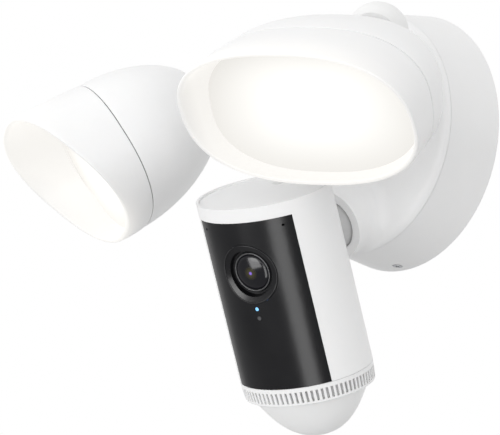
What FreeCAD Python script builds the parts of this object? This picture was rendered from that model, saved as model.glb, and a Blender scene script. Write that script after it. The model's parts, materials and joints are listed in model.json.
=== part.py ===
import FreeCAD, Part
import math
import os

# Wall-mounted floodlight security camera: a round base, two oval lamp heads and one camera,
# each of the three carried by its own ball joint.
#
# Object frame, millimetres: origin at the centre of the base's back face, on the wall.
# +Z is up, -Y points away from the wall into the yard, +X is to the right seen from the front.
#
# Each lamp and the camera is drawn in a frame of its own, with -Y the way it faces and +Z its
# top, and is then turned by yaw (about Z), pitch (nose down) and roll (about its own Y).

Vector = FreeCAD.Vector
Rotation = FreeCAD.Rotation
Placement = FreeCAD.Placement
X_AXIS = Vector(1, 0, 0)
Y_AXIS = Vector(0, 1, 0)
Z_AXIS = Vector(0, 0, 1)

GAP = 0.1              # assembly gap between neighbouring pieces
THREAD_GAP = 0.02      # between a nut and the thread it runs on
FAR = 200.0            # reach of a cutting block, larger than any piece

# ---- base ----
BASE_BACK_R = 64.0     # covers a 100 mm round electrical box
BASE_FRONT_R = 59.2
BASE_DEPTH = 32.4      # back face to the edge where the front starts
BASE_CROWN = 5.0       # how far the middle of the front stands proud of that edge
BASE_EDGE_ROUND = 4.0
BASE_WALL = 2.6
COVER_SPLIT_Y = -28.4  # joint between housing and front cover, where the edge round starts
LEDGE_FRONT_Y = -23.0
LEDGE_THICK = 2.0
LEDGE_HOLE_R = 42.0
COVER_SCREW_PCR = 46.5
COVER_POST_R = 4.0
COVER_SPIGOT_R = 56.6      # ring on the cover that centres it in the housing
COVER_SPIGOT_WALL = 2.0
COVER_SPIGOT_ROOT = 2.6

# ---- wall bracket and electrical box ----
STRAP_THICK = 1.6
STRAP_WIDTH = 24.0
STRAP_HALF_LENGTH = 52.0
STRAP_TAB_DEPTH = 12.0
BOX_SLOT_CENTRE = 39.7     # slots reach both the 69.85 mm and the 88.9 mm box screw spacings
BOX_SLOT_LENGTH = 16.0
BOX_SLOT_HALF_WIDTH = 2.3
WIRE_PORT_R = 9.0
SIDE_SCREW_Y = -6.0
SIDE_HEAD_SINK = 1.5
SIDE_SCREW_ROOM = 0.3
GASKET_THICK = 2.5
GASKET_OUTER_R = 60.5
GASKET_INNER_R = 54.5

# ---- electronics in the base ----
POWER_BOARD_Y = -15.0      # rear face of the board
POWER_BOARD_THICK = 1.6
POWER_BOARD_HALF = (44.0, 28.0)
STANDOFF_AT = (41.0, 16.0)    # on the ledge, clear of the cover screws
STANDOFF_R = 2.5
REGULATOR_HEIGHT = 5.0
CORE_DEPTH = 12.0
COIL_DEPTH = 10.0
TERMINAL_Y = -6.0          # rear face of the terminal block
TERMINAL_HALF_WIDTH = 13.0
TERMINAL_LOW = -25.0
TERMINAL_HIGH = -13.0
WIRE_PITCH = 8.0
WIRE_R = 1.5
WIRE_Z = -17.0
WIRE_BEND_R = 3.0
WIRE_RUN_Y = -3.8          # the wires run up between the terminal block and the bracket
WIRE_END_Z = -10.4         # short of the port, so that its bore stays clear
SIREN_Z = 12.0
SIREN_R = 16.0
SIREN_MAGNET_R = 9.0
SIREN_FRONT_Y = -33.0
SIREN_BACK_Y = -23.5
SIREN_MAGNET_BACK_Y = -18.0

# ---- fasteners: shank radius, shank length, head radius, head height ----
COVER_SCREW = (1.2, 8.5, 2.6, 1.8)
SIDE_SCREW = (1.5, 13.0, 2.3, 1.6)
GROUND_SCREW = (1.6, 5.0, 3.4, 2.0)
LAMP_SCREW = (1.2, 4.4, 2.6, 1.6)
CAMERA_SCREW = (1.2, 8.0, 2.4, 1.6)
SMALL_TAP_R = 1.25         # hole that a small screw cuts its thread in
SMALL_CLEAR_R = 1.7        # hole that a small screw passes through
GROUND_SCREW_AT = (8.5, 20.0)

# ---- camera ball joint ----
CAMERA_BALL = Vector(0, -47.2, -47.5)
CAMERA_SOCKET_PITCH = 30.0
CAMERA_BOSS_R = 17.3
BOSS_BLEND = 8.0           # fillet between the boss and the cover
CAMERA_BOSS_LIP = 4.3      # lip face ahead of the ball's centre
CAMERA_BALL_R = 12.7
CAMERA_SEAT_R = 14.3
CAMERA_MOUTH_R = 13.1

# ---- lamp ball joints (the left one is the mirror image) ----
LAMP_BALL = Vector(51.2, -68.9, 25.8)
LAMP_SOCKET_YAW = 26.0
LAMP_SOCKET_PITCH = 34.0
LAMP_CUP_R = 14.8
LAMP_CUP_RISE = 6.8        # the cup is taller than the ball it holds
LAMP_CUP_LIP = 4.0
LAMP_BALL_R = 11.0
LAMP_SEAT_R = 12.6
LAMP_MOUTH_R = 11.4
ARM_FOOT = Vector(31.0, -30.0, 31.0)
ARM_R = 9.7
ARM_BLEND = 4.0            # fillet between the arm and its cup
ARM_SPIGOT_R = 5.5
ARM_BORE_R = 3.5
ARM_NUT_R = 8.2
ARM_NUT_FRONT = 3.2        # along the arm, from its foot
ARM_NUT_BACK = 6.4
ARM_NUT_ROOM = 1.5
ARM_ROOT_LENGTH = 14.0     # how far the arm's bar is drawn back into the base
ARM_SPIGOT_LENGTH = 9.0
ARM_BORE_LENGTH = 30.0
CABLE_BORE_R = 3.0
SOCKET_LIP = 1.3           # the mouth's bevelled front part
SEAT_HALF_ANGLE = 50.0     # the seat's rim, measured from the back of the ball
SEAT_ROOM_ANGLE = 84.0     # how far round its pocket reaches, so that the seat can swivel
SEAT_HOLE_R = 5.5

# ---- lamp head ----
SEAM_HALF_WIDTH = 56.6
SEAM_HALF_HEIGHT = 36.2
RIM_HALF_WIDTH = 58.5
RIM_HALF_HEIGHT = 39.1
OVAL_POWER = 2.44          # 2 is an ellipse, higher is squarer
RIM_FORWARD = 25.8         # rim centre ahead of the seam
RIM_RISE = 1.1
RIM_LEAN = 18.0            # the top of the rim overhangs the bottom
SEAM_TO_BALL = 70.9
SEAM_ABOVE_BALL = 0.9
SHELL_WALL = 2.4
BEZEL_SHARES = (0.33, 0.66, 1.0)   # 0 at the seam, 1 at the rim
MOUTH_WALLS = ((0.10, 5.0), (0.55, 3.4), (1.0, 2.0), (1.15, 1.4))  # share, wall thickness there
SEAL_INSET = 0.5
SEAM_GAP = 0.2             # half of the dark line between bezel and housing
HOUSING_CURVE = 58.0       # depth at which the back would close to a point
HOUSING_DEPTH = 50.0
HOUSING_FLOOR = 3.5        # thickness of the flat back that carries the ball stem
HOUSING_DEPTHS = (10, 20, 30, 38)
DIFFUSER_Y = -4.0
DIFFUSER_THICK = 2.0
STEM_THREAD_R = 6.0
STEM_NUT_R = 9.5
LAMP_STEM_TIP_Y = 38.0
LAMP_STEM_NUT_Y = 40.5     # front face of the nut inside the housing
LAMP_COLLAR_R = 9.0
COLLAR_THICK = 2.5
REFLECTOR_BACK_Y = 13.0
REFLECTOR_WALL = 1.4
REFLECTOR_FOOT = 2.5       # how far the reflector's foot reaches past the LED field
BOARD_MARGIN = 2.0         # and how far the board does
LED_BOARD_THICK = 1.6
LED_BOARD_HALF = (38.0, 19.0)
LED_HEIGHT = 0.8
LAMP_SCREW_AT = (33.0, 15.5)
LED_COLUMNS = 6
LED_ROWS = 3
LED_PITCH = 10.0
LED_SIZE = 3.5
SINK_PLATE_THICK = 3.0
FIN_COUNT = 9
FIN_HALF_HEIGHT = 15.0
FIN_PITCH = 8.0
FIN_THICK = 1.6
FIN_BACK_Y = 34.0

# ---- camera body ----
BODY_HALF_WIDTH = 34.3
BODY_HALF_DEPTH = 27.1
BODY_TOP = 48.2
BODY_BOTTOM = -41.7
BODY_WALL = 2.4
BALL_BEHIND_BODY = 53.83
BALL_ABOVE_BODY = 13.37
STEM_PAD_R = 12.5          # flat the ball stem's collar is drawn against
STEM_PAD_RISE = 1.6
STEM_PAD_DEPTH = 6.0
CAMERA_STEM_R = 7.5
CAMERA_STEM_TIP_Y = 12.0
CAMERA_STEM_NUT_THICK = 5.0
CAMERA_COLLAR_R = 10.0
CAMERA_SCREW_AT = (20.5, 13.0)
SCREW_BOSS_R = 3.4
SCREW_BOSS_HEIGHT = 10.0
CAP_SHELF_THICK = 1.6
CAP_SHELF_WIDTH = 5.5
CAP_RECESS = 0.8
CAP_THICK = 1.8
CAP_INSET = 1.3
FACE_HALF_WIDTH = 25.7
FACE_TOP = 41.4
FACE_THICK = 2.0
LENS_Z = 16.0
LENS_RING_R = 14.6
LENS_MOUTH_R = 12.8
LENS_RECESS = 4.4
LENS_RING_FOOT = 4.0
BARREL_R = 9.6
BARREL_WALL = 1.4
BARREL_PROUD = 1.0         # barrel's front edge ahead of the funnel's bottom
BARREL_CUP = 3.0
BARREL_BACK_Y = -4.0
GLASS_DOME_R = 9.5
MAIN_BOARD_Y = 2.0         # front face of the main board
MAIN_BOARD_HALF = (24.0, 38.0)
BOARD_THICK = 1.6
SHIELD_HEIGHT = 2.6
CAPSULE_HEIGHT = 1.4
SENSOR_BOARD_HALF = 11.0
SENSOR_CHIP_THICK = 2.2
INFRARED_X = 19.0
INFRARED_R = 2.5
INFRARED_LEAD_R = 1.0
INFRARED_LENGTH = 4.5
INFRARED_BACK_Y = -14.0
PIPE_FRONT_Y = 0.15 - BODY_HALF_DEPTH      # light pipe and sensor end just inside the face
STATUS_LIGHT_Z = -1.2
STATUS_LIGHT_R = 0.9
LIGHT_SENSOR_Z = -5.8
LIGHT_SENSOR_R = 1.0
MICROPHONE_Z = 37.5
MICROPHONE_X = 21.6
MICROPHONE_R = 0.6
VENT_BOTTOM = -50.6
VENT_TAPER = 0.976
VENT_WALL = 1.8
VENT_SLOTS = 80
VENT_SLOT_WIDTH = 1.15
VENT_SLOT_REACH = 4.0      # how far a slot's cutter reaches in and out
VENT_CEILING = 1.2
VENT_FLOOR = 1.0
MESH_THICK = 0.6
SPEAKER_R = 16.0
SPEAKER_LOW = -49.1
SPEAKER_CONE_HEIGHT = 4.0
SPEAKER_MAGNET_R = 8.0
SPEAKER_MAGNET_HEIGHT = 5.5
VENT_SLOT_TOP = -44.0
VENT_SLOT_BOTTOM = -49.5
DOME_SCALE = 0.875
DOME_TOP = -50.8
DOME_APEX = -74.2
DOME_WALL = 1.8
DOME_FULLNESS = 2.4        # 2 is a parabola, higher is fuller at the tip
DOME_STEPS = 8
MOTION_BOARD_HALF = (24.0, 18.6)
MOTION_BOARD_RISE = 1.0    # below the dome's top
MOTION_CAN_R = 4.2
MOTION_CAN_HEIGHT = 4.4
MOTION_CANS_AT = ((-13, -4), (0, -11), (13, -4))
BUTTON_R = 3.0
BUTTON_Y = 14.0            # behind the middle of the cap
BUTTON_FLANGE = 1.5        # width and foot depth of the flange that keeps the button in
BUTTON_PROUD = 0.3

# ---- how the three heads are aimed: yaw, pitch, roll in degrees ----
RIGHT_LAMP_AIM = (17.2, 35.5, 9.4)
LEFT_LAMP_AIM = (-34.7, 32.7, -0.2)
CAMERA_AIM = (10.3, 30.4, 5.35)


# ---------------------------------------------------------------- helpers

def aimed(origin, yaw, pitch, roll):
    """Placement of a frame at origin, turned by yaw, then pitch (nose down), then roll."""
    turn = Rotation(Z_AXIS, yaw) * Rotation(X_AXIS, pitch) * Rotation(Y_AXIS, roll)
    return Placement(origin, turn)


def placed(shape, placement):
    moved = shape.copy()
    moved.transformShape(placement.toMatrix(), True)
    return moved


def rod(radius, y_front, y_back, x=0.0, z=0.0):
    """Round bar along Y."""
    return Part.makeCylinder(radius, y_back - y_front, Vector(x, y_front, z), Y_AXIS)


def post(radius, z_low, z_high, x=0.0, y=0.0):
    """Round bar along Z."""
    return Part.makeCylinder(radius, z_high - z_low, Vector(x, y, z_low), Z_AXIS)


def block(x_low, x_high, y_low, y_high, z_low, z_high):
    size = (x_high - x_low, y_high - y_low, z_high - z_low)
    return Part.makeBox(*size, Vector(x_low, y_low, z_low))


def ahead_of(y):
    """Everything in front of the plane at y."""
    return block(-FAR, FAR, -FAR, y, -FAR, FAR)


def turned(outline):
    """Solid turned about the Y axis from (radius, y) corners."""
    corners = [Vector(radius, y, 0) for radius, y in outline]
    wire = Part.makePolygon(corners + corners[:1])
    return Part.Face(wire).revolve(Vector(0, 0, 0), Y_AXIS, 360)


def screw(shank_r, shank_length, head_r, head_height):
    """Pan-head screw along Y with its head in front and its shank running back."""
    head = rod(head_r, -head_height, 0)
    shank = rod(shank_r, 0, shank_length)
    cross = block(-head_r * 0.6, head_r * 0.6, -head_height, -head_height * 0.5, -0.4, 0.4)
    cross = cross.fuse(placed(cross, Placement(Vector(0, 0, 0), Rotation(Y_AXIS, 90))))
    return head.fuse(shank).cut(cross).removeSplitter()


def hex_nut(across_corners_r, bore_r, y_front, y_back):
    corners = []
    for step in range(7):
        angle = math.radians(60 * step)
        corners.append(Vector(across_corners_r * math.cos(angle), y_front,
                              across_corners_r * math.sin(angle)))
    prism = Part.Face(Part.makePolygon(corners)).extrude(Vector(0, y_back - y_front, 0))
    return prism.cut(rod(bore_r, y_front - 1, y_back + 1))


def ball_seat(seat_r, ball_r):
    """Bowl-shaped friction seat behind a ball, holed for the cable."""
    shell = Part.makeSphere(seat_r).cut(Part.makeSphere(ball_r + GAP))
    front_y = seat_r * math.cos(math.radians(SEAT_HALF_ANGLE))
    return shell.cut(ahead_of(front_y)).cut(rod(SEAT_HOLE_R, 0, FAR))


def socket_pocket(seat_r, ball_r, mouth_r, lip_y, cable_length):
    """Hollow of a ball socket: the ball, room for its seat to swivel, the mouth and a cable way."""
    room_y = seat_r * math.cos(math.radians(SEAT_ROOM_ANGLE))
    ball_room = Part.makeSphere(ball_r + GAP).cut(ahead_of(lip_y))
    seat_room = Part.makeSphere(seat_r + GAP).cut(ahead_of(room_y))
    mouth = rod(mouth_r, -FAR / 4, lip_y)
    return ball_room.fuse([seat_room, mouth, rod(SEAT_HOLE_R, 0, cable_length)])


# ---------------------------------------------------------------- base

def base_radius_at(y):
    """Outer radius of the tapered side wall."""
    return BASE_BACK_R + (BASE_FRONT_R - BASE_BACK_R) * (-y / BASE_DEPTH)


def crowned_disc(inset):
    """The base's whole outer form, shrunk by inset on the side and the front."""
    back_r = BASE_BACK_R - inset
    front_r = BASE_FRONT_R - inset
    edge_y = -BASE_DEPTH + inset
    taper = (back_r - front_r) / -edge_y
    length = -edge_y + 2 * BASE_CROWN
    drum = Part.makeCone(back_r, back_r - taper * length, length, Vector(0, 0, 0), Y_AXIS * -1)
    crown_r = (front_r ** 2 + BASE_CROWN ** 2) / (2 * BASE_CROWN)
    crown = Part.makeSphere(crown_r, Vector(0, edge_y - BASE_CROWN + crown_r, 0))
    disc = drum.common(crown)
    rim = [edge for edge in disc.Edges
           if not edge.Degenerated and abs(edge.CenterOfMass.y - edge_y) < 0.5
           and edge.Length > front_r]
    return disc.makeFillet(BASE_EDGE_ROUND, rim)


def camera_socket():
    return aimed(CAMERA_BALL, 0, CAMERA_SOCKET_PITCH, 0)


def cover_post_places():
    for third in range(3):
        angle = math.radians(90 + 120 * third)
        yield COVER_SCREW_PCR * math.cos(angle), COVER_SCREW_PCR * math.sin(angle)


def make_base_housing():
    outer = crowned_disc(0).cut(ahead_of(COVER_SPLIT_Y))
    hollow = turned([(0, 1), (BASE_BACK_R - BASE_WALL, 1),
                     (base_radius_at(COVER_SPLIT_Y) - BASE_WALL, COVER_SPLIT_Y - 1),
                     (0, COVER_SPLIT_Y - 1)])
    ledge_back = LEDGE_FRONT_Y + LEDGE_THICK
    ledge = turned([(LEDGE_HOLE_R, LEDGE_FRONT_Y), (LEDGE_HOLE_R, ledge_back),
                    (base_radius_at(ledge_back) - BASE_WALL * 0.5, ledge_back),
                    (base_radius_at(LEDGE_FRONT_Y) - BASE_WALL * 0.5, LEDGE_FRONT_Y)])
    housing = outer.cut(hollow).fuse(ledge)
    for x, z in cover_post_places():
        housing = housing.cut(rod(SMALL_CLEAR_R, LEDGE_FRONT_Y - 1, ledge_back + 1, x, z))
    housing = housing.cut([arm_bar(side, ARM_NUT_R + ARM_NUT_ROOM) for side in (1, -1)])
    screw_hole = post(SIDE_SCREW[0] + SIDE_SCREW_ROOM, -FAR, FAR, 0, SIDE_SCREW_Y)
    head_seat = base_radius_at(SIDE_SCREW_Y) - SIDE_HEAD_SINK
    sink_r = SIDE_SCREW[2] + 2 * GAP
    sinks = [post(sink_r, head_seat, FAR, 0, SIDE_SCREW_Y),
             post(sink_r, -FAR, -head_seat, 0, SIDE_SCREW_Y)]
    return housing.cut([screw_hole] + sinks).removeSplitter()


def blended(solid, radius, above_z):
    """Fillet the freeform edges, where two bodies meet, whose middle lies above a height."""
    meeting = [edge for edge in solid.Edges
               if not edge.Degenerated and isinstance(edge.Curve, Part.BSplineCurve)
               and edge.CenterOfMass.z > above_z]
    return solid.makeFillet(radius, meeting)


def make_front_cover():
    boss = placed(rod(CAMERA_BOSS_R, -CAMERA_BOSS_LIP, 30), camera_socket())
    outside = blended(crowned_disc(0).fuse(boss).removeSplitter(), BOSS_BLEND, CAMERA_BALL.z)
    shell = outside.cut(crowned_disc(BASE_WALL)).common(ahead_of(COVER_SPLIT_Y - GAP))
    spigot_inner_r = COVER_SPIGOT_R - COVER_SPIGOT_WALL
    spigot_front = COVER_SPLIT_Y - COVER_SPIGOT_ROOT
    spigot = turned([(COVER_SPIGOT_R, LEDGE_FRONT_Y - GAP), (spigot_inner_r, LEDGE_FRONT_Y - GAP),
                     (spigot_inner_r, spigot_front), (COVER_SPIGOT_R, spigot_front)])
    posts = [rod(COVER_POST_R, -BASE_DEPTH - 1, LEDGE_FRONT_Y - GAP, x, z)
             for x, z in cover_post_places()]
    cover = shell.fuse([spigot] + posts).removeSplitter()
    pocket = socket_pocket(CAMERA_SEAT_R, CAMERA_BALL_R, CAMERA_MOUTH_R,
                           -CAMERA_BOSS_LIP + SOCKET_LIP, 30)
    cover = cover.cut(placed(pocket, camera_socket()))
    for x, z in cover_post_places():
        cover = cover.cut(rod(SMALL_TAP_R, -BASE_DEPTH + 1, LEDGE_FRONT_Y + 1, x, z))
    for side in (1, -1):
        cover = cover.cut(arm_bar(side, ARM_SPIGOT_R + GAP))
    return cover.removeSplitter()


def make_cover_screws():
    piece = placed(screw(*COVER_SCREW), Placement(Vector(0, 0, 0), Rotation(Z_AXIS, 180)))
    seat_y = LEDGE_FRONT_Y + LEDGE_THICK
    return Part.makeCompound([placed(piece, Placement(Vector(x, seat_y, z), Rotation()))
                              for x, z in cover_post_places()])


def make_base_gasket():
    return turned([(GASKET_INNER_R, -GASKET_THICK), (GASKET_OUTER_R, -GASKET_THICK),
                   (GASKET_OUTER_R, 0), (GASKET_INNER_R, 0)])


def make_wall_bracket():
    half = STRAP_WIDTH / 2
    strap = block(-half, half, -STRAP_THICK, 0, -STRAP_HALF_LENGTH, STRAP_HALF_LENGTH)
    through = (-STRAP_THICK - 1, 1)
    tab = block(-half, half, -STRAP_TAB_DEPTH, 0,
                STRAP_HALF_LENGTH - STRAP_THICK, STRAP_HALF_LENGTH)
    lower_tab = block(-half, half, -STRAP_TAB_DEPTH, 0,
                      -STRAP_HALF_LENGTH, -STRAP_HALF_LENGTH + STRAP_THICK)
    bracket = strap.fuse([tab, lower_tab]).removeSplitter()
    straight = BOX_SLOT_LENGTH / 2 - BOX_SLOT_HALF_WIDTH
    for side in (1, -1):
        middle = side * BOX_SLOT_CENTRE
        slot = block(-BOX_SLOT_HALF_WIDTH, BOX_SLOT_HALF_WIDTH, *through,
                     middle - straight, middle + straight)
        ends = [rod(BOX_SLOT_HALF_WIDTH, *through, 0, middle + end * straight)
                for end in (1, -1)]
        bracket = bracket.cut(slot.fuse(ends))
    bracket = bracket.cut(rod(WIRE_PORT_R, *through))
    bracket = bracket.cut(rod(GROUND_SCREW[0] + GAP, *through, *GROUND_SCREW_AT))
    return bracket.cut(post(SIDE_SCREW[0] + GAP / 2, -FAR, FAR, 0, SIDE_SCREW_Y))


def make_side_screws():
    """Security screws through the side wall into the bracket's folded tabs."""
    piece = screw(*SIDE_SCREW)
    seat = base_radius_at(SIDE_SCREW_Y) - SIDE_HEAD_SINK
    top = Placement(Vector(0, SIDE_SCREW_Y, seat), Rotation(X_AXIS, -90))
    bottom = Placement(Vector(0, SIDE_SCREW_Y, -seat), Rotation(X_AXIS, 90))
    return Part.makeCompound([placed(piece, top), placed(piece, bottom)])


def make_ground_screw():
    x, z = GROUND_SCREW_AT
    return placed(screw(*GROUND_SCREW), Placement(Vector(x, -STRAP_THICK, z), Rotation()))


def make_power_board():
    half_width, half_height = POWER_BOARD_HALF
    across, up = STANDOFF_AT
    front = POWER_BOARD_Y - POWER_BOARD_THICK
    board = block(-half_width, half_width, front, POWER_BOARD_Y, -half_height, half_height)
    standoffs = [rod(STANDOFF_R, LEDGE_FRONT_Y + LEDGE_THICK, front, x, z)
                 for x in (-across, across) for z in (-up, up)]
    regulator = block(-34, -20, front - REGULATOR_HEIGHT, front, -6, 14)
    return board.fuse(standoffs).fuse(regulator).removeSplitter()


def make_transformer():
    core = block(20, 40, POWER_BOARD_Y, POWER_BOARD_Y + CORE_DEPTH, -10, 12)
    winding = block(24, 36, POWER_BOARD_Y, POWER_BOARD_Y + COIL_DEPTH, -13, 15)
    return core.fuse(winding).removeSplitter()


def make_terminal_block():
    body = block(-TERMINAL_HALF_WIDTH, TERMINAL_HALF_WIDTH, POWER_BOARD_Y, TERMINAL_Y,
                 TERMINAL_LOW, TERMINAL_HIGH)
    clear_r = WIRE_R + 0.9
    for step in (-1, 0, 1):
        entry = rod(clear_r, POWER_BOARD_Y + 2, TERMINAL_Y + 1, step * WIRE_PITCH, WIRE_Z)
        body = body.cut(entry)
    return body


def make_supply_wire(step):
    """Supply wire: out of the terminal block, then bent up towards the bracket's port."""
    x = step * WIRE_PITCH
    bend_y = WIRE_RUN_Y - WIRE_BEND_R
    bend_z = WIRE_Z + WIRE_BEND_R
    start = Vector(x, POWER_BOARD_Y + 4, WIRE_Z)
    bend_middle = Vector(x, bend_y + WIRE_BEND_R * math.sin(math.pi / 4),
                         bend_z - WIRE_BEND_R * math.cos(math.pi / 4))
    bend = Part.Arc(Vector(x, bend_y, WIRE_Z), bend_middle, Vector(x, WIRE_RUN_Y, bend_z))
    path = Part.Wire([Part.makeLine(start, Vector(x, bend_y, WIRE_Z)), bend.toShape(),
                      Part.makeLine(Vector(x, WIRE_RUN_Y, bend_z),
                                    Vector(x, WIRE_RUN_Y, WIRE_END_Z))])
    ring = Part.Wire(Part.makeCircle(WIRE_R, start, Y_AXIS))
    return path.makePipeShell([ring], True, False)


def make_siren_speaker():
    body = rod(SIREN_R, SIREN_FRONT_Y, SIREN_BACK_Y, 0, SIREN_Z)
    magnet = rod(SIREN_MAGNET_R, SIREN_BACK_Y, SIREN_MAGNET_BACK_Y, 0, SIREN_Z)
    return body.fuse(magnet).removeSplitter()


# ---------------------------------------------------------------- lamp arms and sockets

def lamp_ball(side):
    return Vector(side * LAMP_BALL.x, LAMP_BALL.y, LAMP_BALL.z)


def lamp_socket(side):
    return aimed(lamp_ball(side), side * LAMP_SOCKET_YAW, LAMP_SOCKET_PITCH, 0)


def arm_bar(side, radius, back=ARM_ROOT_LENGTH):
    """Round bar from inside the base along the arm towards its ball."""
    foot = Vector(side * ARM_FOOT.x, ARM_FOOT.y, ARM_FOOT.z)
    along = lamp_ball(side) - foot
    length = along.Length
    along.normalize()
    return Part.makeCylinder(radius, length + back, foot - along * back, along)


def make_lamp_arm(side):
    ball = lamp_ball(side)
    cup = Part.makeSphere(LAMP_CUP_R, ball)
    cup = cup.fuse([Part.makeSphere(LAMP_CUP_R, ball + Z_AXIS * LAMP_CUP_RISE),
                    Part.makeCylinder(LAMP_CUP_R, LAMP_CUP_RISE, ball, Z_AXIS)])
    solid = blended(cup.fuse(arm_bar(side, ARM_R)).removeSplitter(), ARM_BLEND, 0)
    solid = solid.cut(crowned_disc(0))
    solid = solid.cut(placed(ahead_of(-LAMP_CUP_LIP), lamp_socket(side)))
    spigot = arm_bar(side, ARM_SPIGOT_R, ARM_SPIGOT_LENGTH).common(crowned_disc(-GAP))
    solid = solid.fuse(spigot).removeSplitter()
    pocket = socket_pocket(LAMP_SEAT_R, LAMP_BALL_R, LAMP_MOUTH_R, -LAMP_CUP_LIP + SOCKET_LIP,
                           LAMP_BALL_R)
    solid = solid.cut(placed(pocket, lamp_socket(side)))
    return solid.cut(arm_bar(side, ARM_BORE_R, ARM_BORE_LENGTH)).removeSplitter()


def make_arm_nuts():
    nuts = []
    for side in (1, -1):
        foot = Vector(side * ARM_FOOT.x, ARM_FOOT.y, ARM_FOOT.z)
        along = (lamp_ball(side) - foot).normalize()
        nut = hex_nut(ARM_NUT_R, ARM_SPIGOT_R + THREAD_GAP, ARM_NUT_FRONT, ARM_NUT_BACK)
        turn = Rotation(Y_AXIS * -1, along)
        nuts.append(placed(nut, Placement(foot, turn)))
    return Part.makeCompound(nuts)


def make_lamp_seat(side):
    return placed(ball_seat(LAMP_SEAT_R, LAMP_BALL_R), lamp_socket(side))


def make_camera_seat():
    return placed(ball_seat(CAMERA_SEAT_R, CAMERA_BALL_R), camera_socket())


# ---------------------------------------------------------------- lamp head

def oval_wire(half_width, half_height, y, lean=0.0, rise=0.0, count=24):
    """Closed superellipse facing -Y; lean tips its top forward, in degrees."""
    points = []
    for step in range(count):
        angle = 2 * math.pi * (step + 0.5) / count
        across = math.cos(angle)
        up = math.sin(angle)
        across = math.copysign(abs(across) ** (2 / OVAL_POWER), across) * half_width
        up = math.copysign(abs(up) ** (2 / OVAL_POWER), up) * half_height
        forward = up * math.sin(math.radians(lean))
        points.append(Vector(across, y - forward, rise + up * math.cos(math.radians(lean))))
    curve = Part.BSplineCurve()
    curve.interpolate(Points=points, PeriodicFlag=True)
    return Part.Wire(curve.toShape())


def oval_plate(half_width, half_height, y_front, y_back):
    face = Part.Face(oval_wire(half_width, half_height, y_front))
    return face.extrude(Vector(0, y_back - y_front, 0))


def bezel_section(share, inset):
    """Cross-section of the bezel: share 0 at the seam, 1 at the front rim."""
    half_width = SEAM_HALF_WIDTH + (RIM_HALF_WIDTH - SEAM_HALF_WIDTH) * share - inset
    half_height = SEAM_HALF_HEIGHT + (RIM_HALF_HEIGHT - SEAM_HALF_HEIGHT) * share - inset
    return oval_wire(half_width, half_height, -RIM_FORWARD * share, RIM_LEAN * share,
                     RIM_RISE * share)


def make_bezel():
    rear = oval_wire(SEAM_HALF_WIDTH, SEAM_HALF_HEIGHT, -SEAM_GAP)
    outer = Part.makeLoft([rear] + [bezel_section(share, 0) for share in BEZEL_SHARES], True)
    mouth = Part.makeLoft([bezel_section(share, wall) for share, wall in MOUTH_WALLS], True)
    recess = oval_plate(SEAM_HALF_WIDTH - SHELL_WALL, SEAM_HALF_HEIGHT - SHELL_WALL,
                        DIFFUSER_Y - DIFFUSER_THICK - 2 * GAP, 2)
    return outer.cut(mouth).cut(recess)


def make_diffuser():
    inset = SHELL_WALL + 3 * GAP
    return oval_plate(SEAM_HALF_WIDTH - inset, SEAM_HALF_HEIGHT - inset,
                      DIFFUSER_Y - DIFFUSER_THICK, DIFFUSER_Y)


def make_lamp_seal():
    outer = oval_plate(SEAM_HALF_WIDTH - SEAL_INSET, SEAM_HALF_HEIGHT - SEAL_INSET,
                       -SEAM_GAP, SEAM_GAP)
    inner = oval_plate(SEAM_HALF_WIDTH - SHELL_WALL, SEAM_HALF_HEIGHT - SHELL_WALL, -1, 1)
    return outer.cut(inner)


def housing_section(depth, inset):
    shrink = math.sqrt(1 - (depth / HOUSING_CURVE) ** 2)
    return oval_wire(SEAM_HALF_WIDTH * shrink - inset, SEAM_HALF_HEIGHT * shrink - inset, depth)


def make_lamp_housing():
    depths = (SEAM_GAP,) + HOUSING_DEPTHS + (45, HOUSING_DEPTH)
    outer = Part.makeLoft([housing_section(depth, 0) for depth in depths], True)
    inner_depths = (0,) + HOUSING_DEPTHS + (HOUSING_DEPTH - HOUSING_FLOOR,)
    inner = Part.makeLoft([housing_section(depth, SHELL_WALL) for depth in inner_depths], True)
    stem_hole = rod(STEM_THREAD_R + GAP, HOUSING_DEPTHS[-1], FAR, 0, -SEAM_ABOVE_BALL)
    return outer.cut(inner).cut(stem_hole)


def make_reflector():
    front = DIFFUSER_Y + 2 * GAP
    inset = SHELL_WALL + 6 * GAP
    wide = (SEAM_HALF_WIDTH - inset, SEAM_HALF_HEIGHT - inset)
    narrow = (LED_BOARD_HALF[0] + REFLECTOR_FOOT, LED_BOARD_HALF[1] + REFLECTOR_FOOT)
    outer = Part.makeLoft([oval_wire(*wide, front), oval_wire(*narrow, REFLECTOR_BACK_Y)], True)
    wide_inside = [half - REFLECTOR_WALL for half in wide]
    narrow_inside = [half - REFLECTOR_WALL for half in narrow]
    inner = Part.makeLoft([oval_wire(*wide_inside, front - GAP),
                           oval_wire(*narrow_inside, REFLECTOR_BACK_Y + GAP)], True)
    return outer.cut(inner)


def led_board_front():
    return REFLECTOR_BACK_Y + 2 * GAP


def lamp_screw_places():
    across, up = LAMP_SCREW_AT
    return [(-across, 0.0), (across, 0.0), (0.0, -up), (0.0, up)]


def make_led_board():
    front = led_board_front()
    board = oval_plate(LED_BOARD_HALF[0] + BOARD_MARGIN, LED_BOARD_HALF[1] + BOARD_MARGIN,
                       front, front + LED_BOARD_THICK)
    chips = []
    for column in range(LED_COLUMNS):
        for row in range(LED_ROWS):
            x = (column - (LED_COLUMNS - 1) / 2) * LED_PITCH
            z = (row - (LED_ROWS - 1) / 2) * LED_PITCH
            half = LED_SIZE / 2
            chips.append(block(x - half, x + half, front - LED_HEIGHT, front, z - half, z + half))
    board = board.fuse(chips).removeSplitter()
    for x, z in lamp_screw_places():
        board = board.cut(rod(SMALL_CLEAR_R, front - 1, front + 5, x, z))
    return board


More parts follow.
